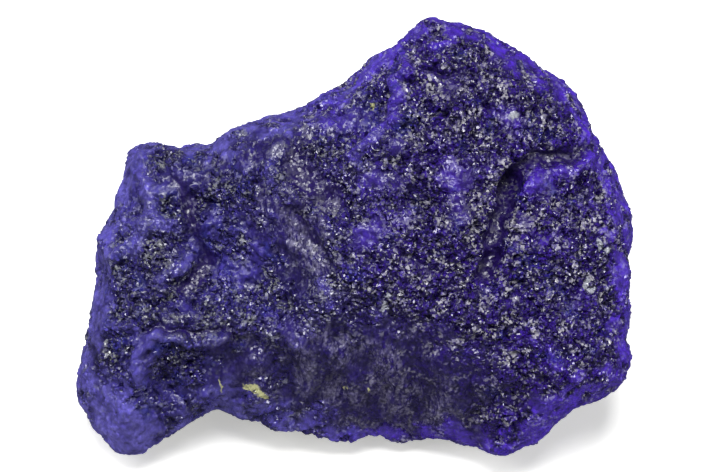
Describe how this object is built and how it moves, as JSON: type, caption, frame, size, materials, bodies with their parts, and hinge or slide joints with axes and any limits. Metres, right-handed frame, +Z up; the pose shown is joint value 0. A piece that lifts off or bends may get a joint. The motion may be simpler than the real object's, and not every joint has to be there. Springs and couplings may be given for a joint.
{
  "type": "lazurite crystal",
  "caption": "Rough lump of deep violet-blue lazurite, broken on every side, that lies on a flat break with its broad granular face up.",
  "frame": {"origin": "on the surface that the stone lies on, under the middle of its box", "axes": "+X across the broad face to its right, +Y away from the side that the broad face leans towards, +Z up"},
  "size_m": [0.0282, 0.021, 0.0152],
  "materials": {
    "lazurite": "glassy granular break"
  },
  "bodies": {
    "root": {"lazurite_crystal": "lazurite"}
  },
  "joints": []
}
